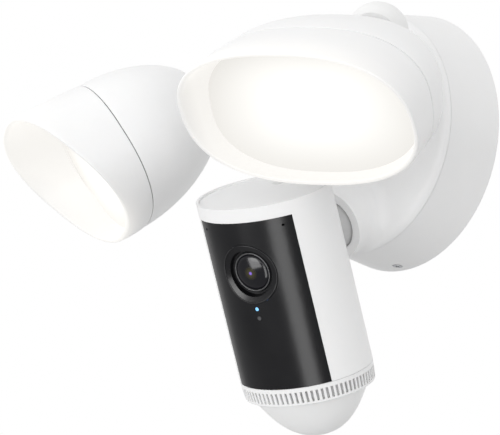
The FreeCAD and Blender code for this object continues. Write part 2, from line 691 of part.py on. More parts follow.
def make_heat_sink():
    front = led_board_front() + LED_BOARD_THICK + GAP
    plate = oval_plate(LED_BOARD_HALF[0] + BOARD_MARGIN, LED_BOARD_HALF[1] + BOARD_MARGIN,
                       front, front + SINK_PLATE_THICK)
    fins = []
    for index in range(FIN_COUNT):
        x = (index - (FIN_COUNT - 1) / 2) * FIN_PITCH
        if index == FIN_COUNT // 2:
            continue        # the middle is left open for the screws
        fins.append(block(x - FIN_THICK / 2, x + FIN_THICK / 2, front + SINK_PLATE_THICK / 2,
                          FIN_BACK_Y, -FIN_HALF_HEIGHT, FIN_HALF_HEIGHT))
    sink = plate.fuse(fins).removeSplitter()
    for x, z in lamp_screw_places():
        sink = sink.cut(rod(SMALL_TAP_R, front - 1, front + 6, x, z))
    return sink


def make_lamp_screws():
    piece = screw(*LAMP_SCREW)
    return Part.makeCompound([placed(piece, Placement(Vector(x, led_board_front(), z), Rotation()))
                              for x, z in lamp_screw_places()])


def make_ball_stem(ball_y, ball_r, collar_y, collar_r, stem_r, tip_y):
    """Ball, stem and collar in one piece, with a threaded tip and a bore for the cable."""
    ball = Part.makeSphere(ball_r, Vector(0, ball_y, 0))
    stem = rod(stem_r, tip_y, ball_y)
    collar = rod(collar_r, collar_y, collar_y + COLLAR_THICK)
    solid = ball.fuse([stem, collar]).removeSplitter()
    return solid.cut(rod(CABLE_BORE_R, tip_y - 1, ball_y + 2 * ball_r))


def make_lamp_ball_stem():
    return make_ball_stem(SEAM_TO_BALL, LAMP_BALL_R, HOUSING_DEPTH + GAP, LAMP_COLLAR_R,
                          STEM_THREAD_R, LAMP_STEM_TIP_Y)


def make_lamp_stem_nut():
    return hex_nut(STEM_NUT_R, STEM_THREAD_R + THREAD_GAP, LAMP_STEM_NUT_Y,
                   HOUSING_DEPTH - HOUSING_FLOOR - GAP)


# ---------------------------------------------------------------- camera

def oval_post(half_width, half_depth, z_low, z_high):
    """Upright elliptical bar."""
    ring = Part.Ellipse(Vector(0, 0, z_low), half_width, half_depth).toShape()
    return Part.Face(Part.Wire(ring)).extrude(Vector(0, 0, z_high - z_low))


def body_post(inset, z_low, z_high):
    return oval_post(BODY_HALF_WIDTH - inset, BODY_HALF_DEPTH - inset, z_low, z_high)


def camera_screw_places():
    across, back = CAMERA_SCREW_AT
    return [(-across, back), (across, back)]


def make_camera_housing():
    shell = body_post(0, BODY_BOTTOM, BODY_TOP).cut(body_post(BODY_WALL, BODY_BOTTOM - 1, FAR))
    pad = rod(STEM_PAD_R, BODY_HALF_DEPTH - STEM_PAD_DEPTH, BODY_HALF_DEPTH + STEM_PAD_RISE,
              0, BALL_ABOVE_BODY)
    shelf_top = BODY_TOP - CAP_RECESS - CAP_THICK - GAP
    shelf = body_post(1.0, shelf_top - CAP_SHELF_THICK, shelf_top)
    shelf = shelf.cut(body_post(CAP_SHELF_WIDTH, 0, FAR))
    boss_top = BODY_BOTTOM + SCREW_BOSS_HEIGHT
    bosses = [post(SCREW_BOSS_R, BODY_BOTTOM, boss_top, x, y).fuse(
              block(x - 1, x + 1, y, BODY_HALF_DEPTH, BODY_BOTTOM, boss_top))
              for x, y in camera_screw_places()]
    bosses = [boss.common(body_post(1.0, BODY_BOTTOM, BODY_TOP)) for boss in bosses]
    shell = shell.fuse([pad, shelf] + bosses).removeSplitter()
    rim_groove = body_post(CAP_INSET, shelf_top, FAR)
    window = block(-FACE_HALF_WIDTH, FACE_HALF_WIDTH, -FAR, 0, BODY_BOTTOM - 1, FACE_TOP)
    shell = shell.cut([rim_groove, window])
    shell = shell.cut(rod(STEM_THREAD_R + GAP, 0, FAR, 0, BALL_ABOVE_BODY))
    for x, y in camera_screw_places():
        shell = shell.cut(post(SMALL_TAP_R, BODY_BOTTOM - 1, boss_top - 2, x, y))
    return shell.removeSplitter()


def make_top_cap():
    top = BODY_TOP - CAP_RECESS
    cap = body_post(CAP_INSET + GAP, top - CAP_THICK, top)
    return cap.cut(post(BUTTON_R + GAP, 0, FAR, 0, BUTTON_Y))


def make_setup_button():
    top = BODY_TOP - CAP_RECESS
    foot = top - CAP_THICK - BUTTON_FLANGE
    head = post(BUTTON_R, foot, top + BUTTON_PROUD, 0, BUTTON_Y)
    flange = post(BUTTON_R + BUTTON_FLANGE, foot, top - CAP_THICK - BUTTON_PROUD,
                  0, BUTTON_Y)
    return head.fuse(flange).removeSplitter()


def make_face_plate():
    band = body_post(0, BODY_BOTTOM + GAP, FACE_TOP - GAP)
    band = band.cut(body_post(FACE_THICK, BODY_BOTTOM - 1, FAR))
    edge = FACE_HALF_WIDTH - GAP
    plate = band.common(block(-edge, edge, -FAR, 0, -FAR, FAR))
    cuts = [rod(LENS_RING_R + GAP, -FAR, 0, 0, LENS_Z),
            rod(STATUS_LIGHT_R + GAP, -FAR, 0, 0, STATUS_LIGHT_Z),
            rod(LIGHT_SENSOR_R + GAP, -FAR, 0, 0, LIGHT_SENSOR_Z),
            rod(MICROPHONE_R, -FAR, 0, MICROPHONE_X, MICROPHONE_Z),
            rod(MICROPHONE_R, -FAR, 0, -MICROPHONE_X, MICROPHONE_Z)]
    return plate.cut(cuts)


def make_lens_bezel():
    """Ring round the lens, flush with the curved face, funnelled in towards the glass."""
    back = -BODY_HALF_DEPTH + LENS_RECESS + LENS_RING_FOOT
    ring = rod(LENS_RING_R, -FAR / 4, back, 0, LENS_Z).common(body_post(0, -FAR, FAR))
    funnel = Part.makeCone(LENS_MOUTH_R, BARREL_R + 4 * GAP, LENS_RECESS,
                           Vector(0, -BODY_HALF_DEPTH, LENS_Z), Y_AXIS)
    return ring.cut(funnel).cut(rod(BARREL_R + GAP, -BODY_HALF_DEPTH, 0, 0, LENS_Z))


def make_lens_barrel():
    front = -BODY_HALF_DEPTH + LENS_RECESS - BARREL_PROUD
    barrel = rod(BARREL_R, front, BARREL_BACK_Y, 0, LENS_Z)
    return barrel.cut(rod(BARREL_R - BARREL_WALL, front - 1, front + BARREL_CUP, 0, LENS_Z))


def make_lens_glass():
    """Domed front element, lying on the bottom of the barrel's cup."""
    back = -BODY_HALF_DEPTH + LENS_RECESS - BARREL_PROUD + BARREL_CUP - GAP
    radius = BARREL_R - BARREL_WALL - GAP
    centre_y = back + math.sqrt(GLASS_DOME_R ** 2 - radius ** 2)
    dome = Part.makeSphere(GLASS_DOME_R, Vector(0, centre_y, LENS_Z))
    return dome.common(rod(radius, -FAR / 4, back, 0, LENS_Z))


def make_image_sensor():
    half = SENSOR_BOARD_HALF
    board = block(-half, half, -BOARD_THICK, 0, LENS_Z - half, LENS_Z + half)
    chip = block(-6, 6, -BOARD_THICK - SENSOR_CHIP_THICK, -BOARD_THICK, LENS_Z - 5, LENS_Z + 5)
    return board.fuse(chip).removeSplitter()


def make_status_light():
    return rod(STATUS_LIGHT_R, PIPE_FRONT_Y, MAIN_BOARD_Y - GAP, 0, STATUS_LIGHT_Z)


def make_light_sensor():
    return rod(LIGHT_SENSOR_R, PIPE_FRONT_Y, MAIN_BOARD_Y - GAP, 0, LIGHT_SENSOR_Z)


def make_infrared_leds():
    leds = []
    for side in (1, -1):
        x = side * INFRARED_X
        leads = rod(INFRARED_LEAD_R, INFRARED_BACK_Y, MAIN_BOARD_Y - GAP, x, LENS_Z)
        lamp = rod(INFRARED_R, INFRARED_BACK_Y - INFRARED_LENGTH, INFRARED_BACK_Y, x, LENS_Z)
        leds.append(lamp.fuse(leads))
    return Part.makeCompound(leds)


def make_main_board():
    half_width, half_height = MAIN_BOARD_HALF
    back = MAIN_BOARD_Y + BOARD_THICK
    board = block(-half_width, half_width, MAIN_BOARD_Y, back, -half_height, half_height)
    shields = [block(-18, 2, back, back + SHIELD_HEIGHT, -30, -8),
               block(6, 20, back, back + SHIELD_HEIGHT, -26, -12)]
    capsules = [block(x - 2, x + 2, MAIN_BOARD_Y - CAPSULE_HEIGHT, MAIN_BOARD_Y,
                      MICROPHONE_Z - 3.5, MICROPHONE_Z - 0.5)
                for x in (MICROPHONE_X, -MICROPHONE_X)]
    return board.fuse(shields + capsules).removeSplitter()


def tapered_post(inset, z_low, z_high, scale_low):
    """Elliptical bar that narrows downwards to scale_low."""
    wide = Part.Ellipse(Vector(0, 0, z_high), BODY_HALF_WIDTH - inset, BODY_HALF_DEPTH - inset)
    narrow = Part.Ellipse(Vector(0, 0, z_low), BODY_HALF_WIDTH * scale_low - inset,
                          BODY_HALF_DEPTH * scale_low - inset)
    wires = [Part.Wire(narrow.toShape()), Part.Wire(wide.toShape())]
    return Part.makeLoft(wires, True, True)


def vent_slot_cutters():
    cutters = []
    for index in range(VENT_SLOTS):
        angle = 2 * math.pi * (index + 0.5) / VENT_SLOTS
        x = BODY_HALF_WIDTH * math.cos(angle)
        y = BODY_HALF_DEPTH * math.sin(angle)
        outward = math.degrees(math.atan2(y / BODY_HALF_DEPTH ** 2, x / BODY_HALF_WIDTH ** 2))
        half = VENT_SLOT_WIDTH / 2
        slot = block(-VENT_SLOT_REACH, VENT_SLOT_REACH, -half, half,
                     VENT_SLOT_BOTTOM, VENT_SLOT_TOP)
        cutters.append(placed(slot, Placement(Vector(x, y, 0), Rotation(Z_AXIS, outward))))
    return Part.makeCompound(cutters)


def make_vent_ring():
    top = BODY_BOTTOM - GAP
    ring = tapered_post(0, VENT_BOTTOM, top, VENT_TAPER)
    ring = ring.cut(tapered_post(VENT_WALL, VENT_BOTTOM - 1, top - VENT_CEILING, VENT_TAPER))
    ring = ring.cut(body_post(10.0, -FAR, 0)).cut(vent_slot_cutters())
    floor = oval_post(BODY_HALF_WIDTH * VENT_TAPER, BODY_HALF_DEPTH * VENT_TAPER,
                      VENT_BOTTOM, VENT_BOTTOM + VENT_FLOOR)
    floor = floor.cut(oval_post(BODY_HALF_WIDTH * 0.8, BODY_HALF_DEPTH * 0.8, -FAR, 0))
    ring = ring.fuse(floor)
    for x, y in camera_screw_places():
        ring = ring.cut(post(CAMERA_SCREW[0] + 3 * GAP, top - 2, top + 1, x, y))
    return ring.removeSplitter()


def make_vent_mesh():
    """Dark acoustic mesh lining the slots from inside."""
    inset = VENT_WALL + 1.0
    low = VENT_BOTTOM + VENT_FLOOR + GAP
    high = BODY_BOTTOM - VENT_CEILING - 2 * GAP
    return body_post(inset, low, high).cut(body_post(inset + MESH_THICK, low - 1, high + 1))


def make_camera_speaker():
    cone_top = SPEAKER_LOW + SPEAKER_CONE_HEIGHT
    cone = post(SPEAKER_R, SPEAKER_LOW, cone_top)
    magnet = post(SPEAKER_MAGNET_R, cone_top, cone_top + SPEAKER_MAGNET_HEIGHT)
    return cone.fuse(magnet).removeSplitter()


def bowl(scale, z_top, z_apex):
    """Bowl with an elliptical rim at z_top that closes at z_apex."""
    rim_r = BODY_HALF_WIDTH * scale
    depth = z_top - z_apex
    curve = Part.BSplineCurve()
    levels = []
    for step in range(DOME_STEPS + 1):
        share = step / DOME_STEPS
        levels.append(Vector(rim_r * share, 0, z_apex + depth * share ** DOME_FULLNESS))
    curve.interpolate(Points=levels, InitialTangent=Vector(1, 0, 0),
                      FinalTangent=Vector(rim_r, 0, DOME_FULLNESS * depth))
    edges = [curve.toShape(), Part.makeLine(levels[-1], Vector(0, 0, z_top)),
             Part.makeLine(Vector(0, 0, z_top), levels[0])]
    round_bowl = Part.Face(Part.Wire(edges)).revolve(Vector(0, 0, 0), Z_AXIS, 360)
    squeeze = FreeCAD.Matrix()
    squeeze.scale(1, BODY_HALF_DEPTH / BODY_HALF_WIDTH, 1)
    return round_bowl.transformGeometry(squeeze)


def make_motion_dome():
    outer = bowl(DOME_SCALE, DOME_TOP, DOME_APEX)
    inner_scale = DOME_SCALE - DOME_WALL / BODY_HALF_WIDTH
    inner = bowl(inner_scale, DOME_TOP + 5 * GAP, DOME_APEX + DOME_WALL)
    return outer.cut(inner)


def make_motion_board():
    top = DOME_TOP - MOTION_BOARD_RISE
    underside = top - BOARD_THICK
    board = oval_post(*MOTION_BOARD_HALF, underside, top)
    cans = [post(MOTION_CAN_R, underside - MOTION_CAN_HEIGHT, underside, x, y)
            for x, y in MOTION_CANS_AT]
    return board.fuse(cans).removeSplitter()


def make_camera_ball_stem():
    collar_y = BODY_HALF_DEPTH + STEM_PAD_RISE + GAP
    stem = make_ball_stem(BALL_BEHIND_BODY, CAMERA_BALL_R, collar_y, CAMERA_COLLAR_R,
                          CAMERA_STEM_R, collar_y)
    thread = rod(STEM_THREAD_R, CAMERA_STEM_TIP_Y, collar_y + 1).cut(rod(CABLE_BORE_R, 0, FAR))
    stem = stem.fuse(thread).removeSplitter()
    return placed(stem, Placement(Vector(0, 0, BALL_ABOVE_BODY), Rotation()))


def make_camera_stem_nut():
    back = BODY_HALF_DEPTH - STEM_PAD_DEPTH - GAP
    nut = hex_nut(STEM_NUT_R, STEM_THREAD_R + THREAD_GAP, back - CAMERA_STEM_NUT_THICK, back)
    return placed(nut, Placement(Vector(0, 0, BALL_ABOVE_BODY), Rotation()))


def make_camera_screws():
    piece = placed(screw(*CAMERA_SCREW), Placement(Vector(0, 0, 0), Rotation(X_AXIS, 90)))
    seat_z = BODY_BOTTOM - GAP - VENT_CEILING
    return Part.makeCompound([placed(piece, Placement(Vector(x, y, seat_z), Rotation()))
                              for x, y in camera_screw_places()])


# ---------------------------------------------------------------- assembly

def base_parts():
    return {
        "wall_bracket": make_wall_bracket(),
        "side_screws": make_side_screws(),
        "ground_screw": make_ground_screw(),
        "base_gasket": make_base_gasket(),
        "base_housing": make_base_housing(),
        "front_cover": make_front_cover(),
        "cover_screws": make_cover_screws(),
        "power_board": make_power_board(),
        "transformer": make_transformer(),
        "terminal_block": make_terminal_block(),
        "live_wire": make_supply_wire(-1),
        "neutral_wire": make_supply_wire(0),
        "earth_wire": make_supply_wire(1),
        "siren_speaker": make_siren_speaker(),
        "arm_nuts": make_arm_nuts(),
        "camera_swivel_seat": make_camera_seat(),
    }


def lamp_parts(name, side, aim):
    """Every piece of one lamp head, its arm and its ball joint."""
    frame = aimed(lamp_ball(side), *aim)
    frame.Base = frame.multVec(Vector(0, -SEAM_TO_BALL, SEAM_ABOVE_BALL))
    ball_rise = Placement(Vector(0, 0, -SEAM_ABOVE_BALL), Rotation())
    head = {
        "housing": make_lamp_housing(),
        "seal": make_lamp_seal(),
        "bezel": make_bezel(),
        "diffuser": make_diffuser(),
        "reflector": make_reflector(),
        "led_board": make_led_board(),
        "heat_sink": make_heat_sink(),
        "screws": make_lamp_screws(),
        "ball_stem": placed(make_lamp_ball_stem(), ball_rise),
        "stem_nut": placed(make_lamp_stem_nut(), ball_rise),
    }
    parts = {name + "_lamp_" + piece: placed(shape, frame) for piece, shape in head.items()}
    parts[name + "_lamp_arm"] = make_lamp_arm(side)
    parts[name + "_lamp_swivel_seat"] = make_lamp_seat(side)
    return parts


def camera_parts():
    frame = aimed(CAMERA_BALL, *CAMERA_AIM)
    frame.Base = frame.multVec(Vector(0, -BALL_BEHIND_BODY, -BALL_ABOVE_BODY))
    pieces = {
        "camera_housing": make_camera_housing(),
        "camera_top_cap": make_top_cap(),
        "setup_button": make_setup_button(),
        "camera_face_plate": make_face_plate(),
        "lens_bezel": make_lens_bezel(),
        "lens_barrel": make_lens_barrel(),
        "lens_glass": make_lens_glass(),
        "image_sensor": make_image_sensor(),
        "status_light_pipe": make_status_light(),
        "light_sensor": make_light_sensor(),
        "infrared_leds": make_infrared_leds(),
        "camera_main_board": make_main_board(),
        "vent_ring": make_vent_ring(),
        "vent_mesh": make_vent_mesh(),
        "camera_speaker": make_camera_speaker(),
        "motion_dome": make_motion_dome(),
        "motion_sensor_board": make_motion_board(),
        "camera_ball_stem": make_camera_ball_stem(),
        "camera_stem_nut": make_camera_stem_nut(),
        "camera_screws": make_camera_screws(),
    }
    return {name: placed(shape, frame) for name, shape in pieces.items()}


def main():
    os.makedirs("parts", exist_ok=True)
    parts = base_parts()
    parts.update(lamp_parts("right", 1, RIGHT_LAMP_AIM))
    parts.update(lamp_parts("left", -1, LEFT_LAMP_AIM))
    parts.update(camera_parts())
    for name, shape in parts.items():
        shape.exportStep("parts/" + name + ".step")


main()
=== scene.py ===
import json
import math

import bmesh
import bpy
import numpy as np
from mathutils import Matrix, Vector


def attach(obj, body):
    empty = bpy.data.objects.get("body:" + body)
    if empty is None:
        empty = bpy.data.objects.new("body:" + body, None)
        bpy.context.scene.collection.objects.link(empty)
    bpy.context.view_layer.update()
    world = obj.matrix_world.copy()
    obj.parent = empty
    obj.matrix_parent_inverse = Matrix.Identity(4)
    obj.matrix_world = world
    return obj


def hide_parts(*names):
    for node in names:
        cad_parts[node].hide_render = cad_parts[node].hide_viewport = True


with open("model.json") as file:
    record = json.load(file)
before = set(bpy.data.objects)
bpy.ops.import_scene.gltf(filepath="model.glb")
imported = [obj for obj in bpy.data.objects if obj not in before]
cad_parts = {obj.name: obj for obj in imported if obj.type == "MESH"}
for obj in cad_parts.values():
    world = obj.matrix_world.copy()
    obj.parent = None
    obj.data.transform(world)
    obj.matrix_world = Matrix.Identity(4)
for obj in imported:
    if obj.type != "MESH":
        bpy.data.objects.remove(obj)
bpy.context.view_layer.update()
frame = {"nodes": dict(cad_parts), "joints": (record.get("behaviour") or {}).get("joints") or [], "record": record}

# Looks of a wall-mounted floodlight security camera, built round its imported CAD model.
#
# Metres and radians. World axes as in the CAD: +Z up, -Y out of the wall, +X to the right.
# Each head also has a frame of its own, read from its joints: -Y the way it faces, +Z its top.
# The two lamp shells, their diffusers and the lens are built here as fine meshes; every other
# piece is its CAD node with a material.

MM = 0.001
LAMPS = ("right_lamp", "left_lamp")
HEAD_ROLL_DEGREES = {"right_lamp": 9.4, "left_lamp": -0.2, "camera": 5.35}  # built in, at rest

# ---- mesh detail ----
ROUND_STEPS = 4                    # in a small rounded edge
WALL_STEPS = 14                    # along a bezel's wall
HOUSING_STEPS = 24                 # along a housing's outside
LINING_STEPS = 16                  # and along its inside
BACK_STEPS = 6                     # from a housing's back edge to its stem hole
SHEET_RINGS = 16                   # from a diffuser's edge to its middle
SHEET_MIDDLE = 0.04                # the innermost ring's share of the sheet
LIP_STEPS = 10                     # over the lens bezel's lip
SLOPE_STEPS = 6                    # down the slope inside it
GLASS_STEPS = 28                   # from the glass's edge to its middle
GLASS_CLOSING = 87                 # degrees of the glass's curve before it is capped
SHARP_ANGLE = math.radians(38)     # a sharper edge than this is shown as a crease
WELD_DISTANCE = 1e-7

# ---- lamp shell ----
OVAL_POWER = 2.44                  # 2 is an ellipse, higher is squarer
OVAL_STEPS = 192
SEAM_GAP = 0.22 * MM               # half of the dark line between bezel and housing
SEAM_EDGE_ROUND = 0.2 * MM
RIM_LEAN = math.radians(18)        # the top of the rim overhangs the bottom
RIM_RISE = 1.1 * MM
RIM_THICK = 2.2 * MM
MOUTH_THICK = 4.6 * MM             # wall thickness where the mouth meets the diffuser
MOUTH_CURVE = 1.3                  # the wall thickens faster towards the diffuser
WALL = 2.4 * MM
HOUSING_CURVE = 58.0 * MM          # depth at which the back would close to a point
HOUSING_EDGE_ROUND = 3.0 * MM
HOUSING_EDGE_INSET = 1.5 * MM
DIFFUSER_CLEARANCE = 0.2 * MM
DIFFUSER_EDGE_ROUND = 0.4 * MM
STEM_HOLE_R = 6.1 * MM
HOUSING_FLOOR = 3.5 * MM
SHEET_GLOW_MIDDLE = 0.98           # of the lit sheet, as the camera sees it
SHEET_GLOW_EDGE = 0.70
SHEET_LIGHT = 0.5                  # and what it casts on its surroundings
MOUTH_PAINTED_TONE = (0.34, 0.34, 0.34)    # painted shade: the mouth's wall is darkened, so it takes less of the studio's light
MOUTH_PAINTED_GLOW = 0.64                  # and a painted warm glow stands in for the lamp's light on it

# ---- lens ----
LENS_LIP = 0.35 * MM               # the bezel's rounded edge stands this far out of the face
LENS_LIP_WIDTH = 0.8 * MM
CHAMFER_WIDTH = 2.3 * MM           # smooth slope inside the lip
CHAMFER_DEPTH = 1.1 * MM
FUNNEL_DEPTH = 4.4 * MM
BARREL_GAP = 0.4 * MM
BARREL_EDGE_ROUND = 0.3 * MM
BARREL_RIM = 0.8 * MM              # width of the barrel's edge round the glass
GLASS_SINK = 0.6 * MM              # edge of the glass behind the barrel's edge
GLASS_RISE = 2.2 * MM              # crown of the front element
OLIVE_REFLECTION_SHARE = 0.40               # of the glass's radius, inside which the olive reflection is painted
VIOLET_REFLECTION_SHARE = 0.11
FULL_TINT_SHARE = 0.4              # of both: the painted reflections are at their strongest inside this

# ---- shell plastic ----
SHELL_WHITE = (0.86, 0.86, 0.86)
SHELL_ROUGHNESS = 0.40
WARM_WHITE = (1.0, 0.975, 0.93)    # the lamps' light

# ---- photograph's view ----
VIEW_AZIMUTH = math.radians(47.34)
VIEW_ELEVATION = math.radians(-13.34)
VIEW_DISTANCE = 1.971
VIEW_TARGET = Vector((-0.1131, 0.0, -0.0179))
VIEW_LENS_MM = 276.0
VIEW_SENSOR_MM = 36.0
VIEW_REACH = 50.0
FLOOR_Z = -2.2                     # such a light hangs above head height
FLOOR_HALF = 22.0

# ---- studio light ----
BACKDROP_GREY = 0.62
BACKDROP_HEIGHTS = (0.03, 0.15)    # of the view direction, where grey turns to white
DOME_LIGHT_ABOVE = 1.00
DOME_LIGHT_BELOW = 0.76
LIGHT_TARGET = Vector((0, -0.08, -0.02))
KEY_WATTS = 2.9
FRONT_WATTS = 7.8
FILL_WATTS = 4.4
COVER_WATTS = 3.2                  # falls only on the base's front cover
BAND_WATTS = 3.6                   # seen only as the soft band in the black face
BAND_ANGLE = math.radians(27.5)    # round from the middle of the face to the band
GLINT_WATTS = 5.0                  # and as the bright patch in the lens
GLINT_NORMAL = (0.16, -0.95, 0.20)


# ---------------------------------------------------------------- frames read from the CAD

def joint(name):
    return next(entry for entry in frame["joints"] if entry["name"] == name)


def head_turn(head):
    """Rotation from a head's own axes to the world's."""
    across = Vector(joint(head + "_tilt")["axis"])
    back = -Vector(joint(head + "_roll")["axis"])
    level = Matrix((across, back, across.cross(back))).transposed()
    return level @ Matrix.Rotation(math.radians(HEAD_ROLL_DEGREES[head]), 3, "Y")


class LocalBox:
    """Lowest, highest and middle point of a CAD node along the axes of a frame."""

    def __init__(self, node, place):
        points = np.array([vertex.co for vertex in frame["nodes"][node].data.vertices])
        local = (points - np.array(place.translation)) @ np.array(place.to_3x3())
        self.low = Vector(local.min(axis=0))
        self.high = Vector(local.max(axis=0))
        self.middle = (self.low + self.high) / 2


def lamp_frame(lamp):
    """Frame in the middle of the seam between bezel and housing."""
    turn = head_turn(lamp)
    seal = LocalBox(lamp + "_seal", turn.to_4x4())
    return Matrix.Translation(turn @ seal.middle) @ turn.to_4x4()


def camera_frame():
    """Frame on the body's axis, level with the lens."""
    turn = head_turn("camera")
    centre = LocalBox("vent_ring", turn.to_4x4()).middle
    centre.z = LocalBox("lens_barrel", turn.to_4x4()).middle.z
    return Matrix.Translation(turn @ centre) @ turn.to_4x4()


# ---------------------------------------------------------------- materials

def ramp(tree, share, low, high, start=0.0, end=1.0):
    """Number that runs from low to high as share runs from start to end."""
    made = tree.nodes.new("ShaderNodeMapRange")
    tree.links.new(share, made.inputs["Value"])
    for name, value in (("From Min", start), ("From Max", end), ("To Min", low),
                        ("To Max", high)):
        made.inputs[name].default_value = value
    return made.outputs["Result"]


class Shader:
    """A node material under construction. Lengths of patterns are given in metres."""

    def __init__(self, name):
        self.material = bpy.data.materials.new(name)
        self.material.use_nodes = True
        self.tree = self.material.node_tree
        self.surface = self.tree.nodes["Principled BSDF"]
        self.where = self.tree.nodes.new("ShaderNodeTexCoord").outputs["Object"]

    def node(self, kind, **inputs):
        made = self.tree.nodes.new("ShaderNode" + kind)
        for name, value in inputs.items():
            self.feed(made.inputs[name.replace("_", " ")], value)
        return made

    def feed(self, socket, value):
        """Link an output to a socket, or set the socket to a plain value."""
        if isinstance(value, bpy.types.NodeSocket):
            self.tree.links.new(value, socket)
        elif isinstance(value, tuple) and len(value) == 3 and socket.type == "RGBA":
            socket.default_value = (*value, 1.0)
        else:
            socket.default_value = value

    def set(self, **inputs):
        """Feed the principled shader's inputs, named with underscores for spaces."""
        for name, value in inputs.items():
            self.feed(self.surface.inputs[name.replace("_", " ")], value)
        return self

    def noise(self, size, detail=2.0, roughness=0.5):
        made = self.node("TexNoise", Vector=self.where, Scale=1 / size, Detail=detail,
                         Roughness=roughness)
        return made.outputs["Fac"]

    def cells(self, size):
        made = self.node("TexVoronoi", Vector=self.where, Scale=1 / size)
        return made.outputs["Distance"]

    def stored(self, name):
        """Number kept at the mesh's vertices."""
        made = self.node("Attribute")
        made.attribute_name = name
        return made.outputs["Fac"]

    def between(self, share, low, high, start=0.0, end=1.0):
        return ramp(self.tree, share, low, high, start, end)

    def blend(self, share, first, second):
        """Colour that runs from first to second with share."""
        made = self.tree.nodes.new("ShaderNodeMix")
        made.data_type = "RGBA"
        self.feed(made.inputs["Factor"], share)
        self.feed(made.inputs["A"], first)
        self.feed(made.inputs["B"], second)
        return made.outputs["Result"]

    def bump(self, height, depth, below=None):
        """Normal for a height pattern of the given depth, on top of another normal."""
        made = self.node("Bump", Height=height, Strength=1.0, Distance=depth)
        if below is not None:
            self.feed(made.inputs["Normal"], below)
        return made.outputs["Normal"]

    def soft_edges(self, radius):
        made = self.node("Bevel", Radius=radius)
        made.samples = 4
        return made.outputs["Normal"]


def shade(colour, factor):
    return tuple(channel * factor for channel in colour)


def moulded(name, colour, roughness, grain=0.45 * MM, grain_depth=0.008 * MM,
            edge_round=0.3 * MM):
    """Moulded plastic: spark-eroded grain, faint flow mottling, dust and softened edges."""
    shader = Shader(name)
    mottle = shader.noise(22 * MM, detail=4)
    dust = shader.between(shader.noise(3.0 * MM, detail=6, roughness=0.65), 0, 1, 0.55, 0.80)
    tone = shader.blend(mottle, shade(colour, 0.975), shade(colour, 1.015))
    tone = shader.blend(shader.between(dust, 0, 0.10), tone, shade(colour, 0.82))
    gloss = shader.between(shader.noise(7 * MM, detail=3), roughness - 0.05, roughness + 0.07)
    relief = shader.bump(shader.noise(9 * MM, detail=1), 0.02 * MM, shader.soft_edges(edge_round))
    relief = shader.bump(shader.noise(grain, detail=2), grain_depth, relief)
    return shader.set(Base_Color=tone, Roughness=gloss, Normal=relief)


def shell_plastic(name):
    """White, slightly milky plastic of all outer shells."""
    shader = moulded(name, SHELL_WHITE, SHELL_ROUGHNESS)
    return shader.set(Subsurface_Weight=0.06, Subsurface_Scale=1.5 * MM,
                      Subsurface_Radius=(1.0, 0.9, 0.8), Specular_IOR_Level=0.45)


def white_plastic():
    return shell_plastic("white_plastic").material


def lamp_white():
    """Shell plastic of the bezels, whose mouth is darkened and painted with a warm glow in place of light from the
    lamp.
    """
    shader = shell_plastic("lamp_white")
    share = shader.stored("painted_lamp_glow")
    plain = shader.surface.inputs["Base Color"].links[0].from_socket
    # Painted light: the mouth's wall is darkened and made to glow warm, in place of the lamp's light falling on
    # it.
    tone = shader.blend(share, plain, MOUTH_PAINTED_TONE)
    glow = shader.between(share, 0, MOUTH_PAINTED_GLOW)
    return shader.set(Base_Color=tone, Emission_Color=WARM_WHITE,
                      Emission_Strength=glow).material


def white_socket():
    return moulded("white_socket", (0.85, 0.85, 0.845), 0.33).material


def button_white():
    return moulded("button_white", (0.78, 0.78, 0.77), 0.42).material


def dome_white():
    """Moulded polyethylene: a little milky, with a soft sheen and a faint painted glow."""
    shader = moulded("dome_white", (0.87, 0.87, 0.865), 0.42, grain=0.3 * MM,
                     grain_depth=0.004 * MM)
    # The faint white emission is painted light: it brightens the dome, which is no lamp.
    return shader.set(Subsurface_Weight=0.35, Subsurface_Scale=3 * MM,
                      Subsurface_Radius=(1.0, 0.95, 0.9), Emission_Color=(1.0, 1.0, 1.0),
                      Emission_Strength=0.04).material


# The ball's mid grey is painted shade, standing in for the shadow of the socket it sits in.
def ball_plastic():
    return moulded("ball_plastic", (0.60, 0.60, 0.60), 0.40, grain_depth=0.004 * MM).material


def grey_seat():
    return moulded("grey_seat", (0.12, 0.12, 0.125), 0.45).material


def black_plastic():
    return moulded("black_plastic", (0.012, 0.012, 0.013), 0.38, grain=0.25 * MM,
                   grain_depth=0.005 * MM).material


def terminal_plastic():
    return moulded("terminal_plastic", (0.62, 0.25, 0.04), 0.45).material


def black_rubber():
    return moulded("black_rubber", (0.19, 0.19, 0.19), 0.72, grain=0.2 * MM,
                   grain_depth=0.015 * MM).material


def grey_foam():
    """Closed-cell foam: open bubbles on the cut faces."""
    shader = Shader("grey_foam")
    bubbles = shader.cells(0.9 * MM)
    tone = shader.blend(shader.between(bubbles, 0, 1, 0.1, 0.6), (0.03, 0.03, 0.032),
                        (0.075, 0.075, 0.078))
    relief = shader.bump(bubbles, 0.25 * MM)
    return shader.set(Base_Color=tone, Roughness=0.92, Normal=relief).material


def black_gloss():
    """Polished smoked plastic: deep black and glossy, with faint haze and hairline wipes."""
    shader = Shader("black_gloss")
    haze = shader.noise(14 * MM, detail=5)
    wipes = shader.node("TexNoise", Scale=1.0, Detail=2.0)
    stretch = shader.node("Mapping", Vector=shader.where)
    stretch.inputs["Scale"].default_value = (2500, 2500, 120)
    shader.feed(wipes.inputs["Vector"], stretch.outputs["Vector"])
    tone = shader.blend(haze, (0.002, 0.002, 0.0025), (0.005, 0.005, 0.0055))
    gloss = shader.between(wipes.outputs["Fac"], 0.20, 0.27)
    return shader.set(Base_Color=tone, Roughness=gloss, Specular_IOR_Level=0.17).material


